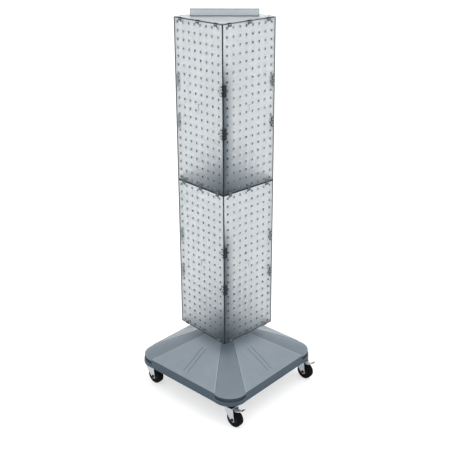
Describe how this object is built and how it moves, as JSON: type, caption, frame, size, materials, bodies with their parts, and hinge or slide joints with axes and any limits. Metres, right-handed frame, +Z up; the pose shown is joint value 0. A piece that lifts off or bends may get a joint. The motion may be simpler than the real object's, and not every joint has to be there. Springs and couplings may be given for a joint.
{
  "type": "revolving pegboard tower display",
  "caption": "Free-standing square pegboard tower in clear plastic, two panels high, turning on a pyramid-shaped grey base with swivel casters and a sign holder on top.",
  "frame": {"origin": "on the floor, on the turning axis of the tower", "axes": "+Z up; +X, -Y, -X and +Y are the outward normals of the right, front, left and back panels at rest"},
  "size_m": [0.487, 0.4606, 1.2608],
  "materials": {
    "clear_plastic": "clear injection-moulded plastic with a fine pebble texture",
    "grey_plastic": "satin moulded grey-blue plastic",
    "zinc_steel": "bright zinc-plated pressed steel",
    "black_rubber": "smooth black tread",
    "black_plastic": "dull black plastic"
  },
  "bodies": {
    "base": {"base_shell": "grey_plastic", "turntable_lower_race": "zinc_steel", "pivot_bolt": "zinc_steel", "pivot_nut": "zinc_steel", "caster_front_left_swivel_race": "black_plastic", "caster_front_right_swivel_race": "black_plastic", "caster_rear_right_swivel_race": "black_plastic", "caster_rear_left_swivel_race": "black_plastic"},
    "ball_cage": {"turntable_ball_cage": "zinc_steel"},
    "tower": {"panel_lower_front": "clear_plastic", "panel_lower_right": "clear_plastic", "panel_lower_back": "clear_plastic", "panel_lower_left": "clear_plastic", "panel_upper_front": "clear_plastic", "panel_upper_right": "clear_plastic", "panel_upper_back": "clear_plastic", "panel_upper_left": "clear_plastic", "bottom_plate": "clear_plastic", "middle_plate": "clear_plastic", "top_plate": "clear_plastic", "sign_holder": "clear_plastic", "turntable_rotor": "grey_plastic"},
    "swivel_front_left": {"caster_front_left_fork": "zinc_steel", "caster_front_left_axle": "zinc_steel"},
    "wheel_front_left": {"caster_front_left_tyre": "black_rubber", "caster_front_left_hub": "black_plastic"},
    "brake_front_left": {"caster_front_left_brake_pedal": "zinc_steel"},
    "swivel_front_right": {"caster_front_right_fork": "zinc_steel", "caster_front_right_axle": "zinc_steel"},
    "wheel_front_right": {"caster_front_right_tyre": "black_rubber", "caster_front_right_hub": "black_plastic"},
    "brake_front_right": {"caster_front_right_brake_pedal": "zinc_steel"},
    "swivel_rear_right": {"caster_rear_right_fork": "zinc_steel", "caster_rear_right_axle": "zinc_steel"},
    "wheel_rear_right": {"caster_rear_right_tyre": "black_rubber", "caster_rear_right_hub": "black_plastic"},
    "brake_rear_right": {"caster_rear_right_brake_pedal": "zinc_steel"},
    "swivel_rear_left": {"caster_rear_left_fork": "zinc_steel", "caster_rear_left_axle": "zinc_steel"},
    "wheel_rear_left": {"caster_rear_left_tyre": "black_rubber", "caster_rear_left_hub": "black_plastic"},
    "brake_rear_left": {"caster_rear_left_brake_pedal": "zinc_steel"}
  },
  "joints": [
    {"name": "tower_spin", "type": "hinge", "parent": "base", "child": "tower", "pos_m": [0, 0, 0.207], "axis": [0, 0, 1], "continuous": true},
    {"name": "cage_spin", "type": "hinge", "parent": "base", "child": "ball_cage", "pos_m": [0, 0, 0.1995], "axis": [0, 0, 1], "continuous": true},
    {"name": "swivel_front_left", "type": "hinge", "parent": "base", "child": "swivel_front_left", "pos_m": [-0.16545, -0.19717, 0.067], "axis": [0, 0, 1], "continuous": true},
    {"name": "roll_front_left", "type": "hinge", "parent": "swivel_front_left", "child": "wheel_front_left", "pos_m": [-0.14552, -0.19543, 0.0275], "axis": [-0.0872, 0.9962, 0], "continuous": true},
    {"name": "brake_front_left", "type": "hinge", "parent": "swivel_front_left", "child": "brake_front_left", "pos_m": [-0.15847, -0.19656, 0.0605], "axis": [-0.0872, 0.9962, 0], "range_deg": [0, 11]},
    {"name": "swivel_front_right", "type": "hinge", "parent": "base", "child": "swivel_front_right", "pos_m": [0.19717, -0.16545, 0.067], "axis": [0, 0, 1], "continuous": true},
    {"name": "roll_front_right", "type": "hinge", "parent": "swivel_front_right", "child": "wheel_front_right", "pos_m": [0.21709, -0.1637, 0.0275], "axis": [-0.0872, 0.9962, 0], "continuous": true},
    {"name": "brake_front_right", "type": "hinge", "parent": "swivel_front_right", "child": "brake_front_right", "pos_m": [0.20414, -0.16484, 0.0605], "axis": [-0.0872, 0.9962, 0], "range_deg": [0, 11]},
    {"name": "swivel_rear_right", "type": "hinge", "parent": "base", "child": "swivel_rear_right", "pos_m": [0.16545, 0.19717, 0.067], "axis": [0, 0, 1], "continuous": true},
    {"name": "roll_rear_right", "type": "hinge", "parent": "swivel_rear_right", "child": "wheel_rear_right", "pos_m": [0.18537, 0.19891, 0.0275], "axis": [-0.0872, 0.9962, 0], "continuous": true},
    {"name": "brake_rear_right", "type": "hinge", "parent": "swivel_rear_right", "child": "brake_rear_right", "pos_m": [0.17242, 0.19778, 0.0605], "axis": [-0.0872, 0.9962, 0], "range_deg": [0, 11]},
    {"name": "swivel_rear_left", "type": "hinge", "parent": "base", "child": "swivel_rear_left", "pos_m": [-0.19717, 0.16545, 0.067], "axis": [0, 0, 1], "continuous": true},
    {"name": "roll_rear_left", "type": "hinge", "parent": "swivel_rear_left", "child": "wheel_rear_left", "pos_m": [-0.17725, 0.16719, 0.0275], "axis": [-0.0872, 0.9962, 0], "continuous": true},
    {"name": "brake_rear_left", "type": "hinge", "parent": "swivel_rear_left", "child": "brake_rear_left", "pos_m": [-0.1902, 0.16606, 0.0605], "axis": [-0.0872, 0.9962, 0], "range_deg": [0, 11]}
  ],
  "couplings": [
    {"joint": "cage_spin", "follows": "tower_spin", "ratio": 0.5}
  ]
}
